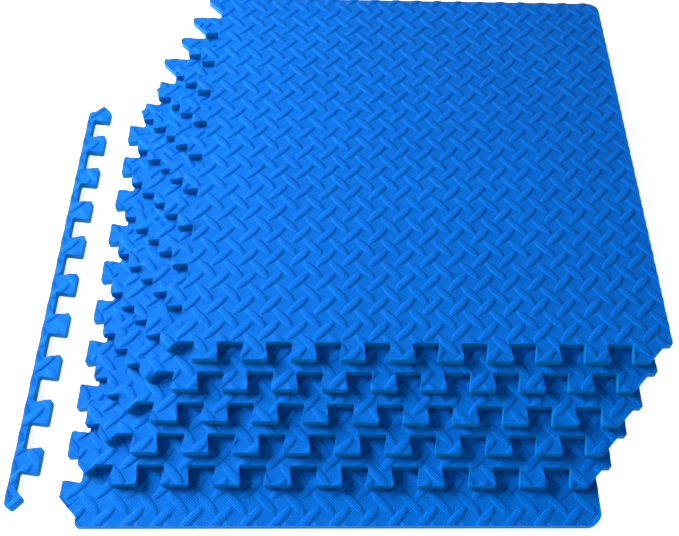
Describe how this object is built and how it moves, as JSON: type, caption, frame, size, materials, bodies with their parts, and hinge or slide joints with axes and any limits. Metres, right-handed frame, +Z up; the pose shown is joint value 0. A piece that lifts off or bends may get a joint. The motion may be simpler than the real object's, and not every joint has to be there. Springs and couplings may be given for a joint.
{
  "type": "interlocking foam blocking mats",
  "caption": "Square foam mats with dovetail teeth along every side, in a fanned stack, with toothed edge strips fitted and one lying loose.",
  "frame": {"origin": "centre of the bottom mat's underside, on the surface that the stack lies on", "axes": "+Z up through the stack, +X to the right along the front side, +Y to the back"},
  "size_m": [0.8196, 0.8244, 0.0762],
  "materials": {
    "tile_foam": "embossed closed-cell foam, satin skin with a fine woven texture",
    "strip_foam": "embossed closed-cell foam, satin skin with a fine woven texture"
  },
  "bodies": {
    "tile_1": {"tile_1": "tile_foam"},
    "tile_2": {"tile_2": "tile_foam"},
    "tile_3": {"tile_3": "tile_foam"},
    "tile_4": {"tile_4": "tile_foam"},
    "tile_5": {"tile_5": "tile_foam"},
    "tile_6": {"tile_6": "tile_foam"},
    "right_strip_1": {"right_strip_1": "strip_foam"},
    "front_strip_1": {"front_strip_1": "strip_foam"},
    "right_strip_2": {"right_strip_2": "strip_foam"},
    "right_strip_3": {"right_strip_3": "strip_foam"},
    "back_strip_3": {"back_strip_3": "strip_foam"},
    "right_strip_4": {"right_strip_4": "strip_foam"},
    "back_strip_4": {"back_strip_4": "strip_foam"},
    "right_strip_5": {"right_strip_5": "strip_foam"},
    "back_strip_5": {"back_strip_5": "strip_foam"},
    "right_strip_6": {"right_strip_6": "strip_foam"},
    "back_strip_6": {"back_strip_6": "strip_foam"},
    "loose_strip": {"loose_strip": "strip_foam"}
  },
  "joints": [
    {"name": "tile_2_lift", "type": "slide", "parent": "tile_1", "child": "tile_2", "axis": [0, 0, 1], "range_m": [0, 0.06]},
    {"name": "tile_3_lift", "type": "slide", "parent": "tile_2", "child": "tile_3", "axis": [0, 0, 1], "range_m": [0, 0.06]},
    {"name": "tile_4_lift", "type": "slide", "parent": "tile_3", "child": "tile_4", "axis": [0, 0, 1], "range_m": [0, 0.06]},
    {"name": "tile_5_lift", "type": "slide", "parent": "tile_4", "child": "tile_5", "axis": [0, 0, 1], "range_m": [0, 0.06]},
    {"name": "tile_6_lift", "type": "slide", "parent": "tile_5", "child": "tile_6", "axis": [0, 0, 1], "range_m": [0, 0.06]},
    {"name": "right_strip_1_lift", "type": "slide", "parent": "tile_1", "child": "right_strip_1", "axis": [0, 0, 1], "range_m": [0, 0.03]},
    {"name": "front_strip_1_lift", "type": "slide", "parent": "tile_1", "child": "front_strip_1", "axis": [0, 0, 1], "range_m": [0, 0.03]},
    {"name": "right_strip_2_lift", "type": "slide", "parent": "tile_2", "child": "right_strip_2", "axis": [0, 0, 1], "range_m": [0, 0.03]},
    {"name": "right_strip_3_lift", "type": "slide", "parent": "tile_3", "child": "right_strip_3", "axis": [0, 0, 1], "range_m": [0, 0.03]},
    {"name": "back_strip_3_lift", "type": "slide", "parent": "tile_3", "child": "back_strip_3", "axis": [0, 0, 1], "range_m": [0, 0.03]},
    {"name": "right_strip_4_lift", "type": "slide", "parent": "tile_4", "child": "right_strip_4", "axis": [0, 0, 1], "range_m": [0, 0.03]},
    {"name": "back_strip_4_lift", "type": "slide", "parent": "tile_4", "child": "back_strip_4", "axis": [0, 0, 1], "range_m": [0, 0.03]},
    {"name": "right_strip_5_lift", "type": "slide", "parent": "tile_5", "child": "right_strip_5", "axis": [0, 0, 1], "range_m": [0, 0.03]},
    {"name": "back_strip_5_lift", "type": "slide", "parent": "tile_5", "child": "back_strip_5", "axis": [0, 0, 1], "range_m": [0, 0.03]},
    {"name": "right_strip_6_lift", "type": "slide", "parent": "tile_6", "child": "right_strip_6", "axis": [0, 0, 1], "range_m": [0, 0.03]},
    {"name": "back_strip_6_lift", "type": "slide", "parent": "tile_6", "child": "back_strip_6", "axis": [0, 0, 1], "range_m": [0, 0.03]},
    {"name": "loose_strip_lift", "type": "slide", "parent": "tile_1", "child": "loose_strip", "axis": [0, 0, 1], "range_m": [0, 0.06]}
  ],
  "couplings": [
    {"joint": "right_strip_1_lift", "follows": "tile_2_lift", "ratio": 0.5},
    {"joint": "front_strip_1_lift", "follows": "tile_2_lift", "ratio": 0.5},
    {"joint": "right_strip_2_lift", "follows": "tile_3_lift", "ratio": 0.5},
    {"joint": "right_strip_3_lift", "follows": "tile_4_lift", "ratio": 0.5},
    {"joint": "back_strip_3_lift", "follows": "tile_4_lift", "ratio": 0.5},
    {"joint": "right_strip_4_lift", "follows": "tile_5_lift", "ratio": 0.5},
    {"joint": "back_strip_4_lift", "follows": "tile_5_lift", "ratio": 0.5},
    {"joint": "right_strip_5_lift", "follows": "tile_6_lift", "ratio": 0.5},
    {"joint": "back_strip_5_lift", "follows": "tile_6_lift", "ratio": 0.5}
  ]
}
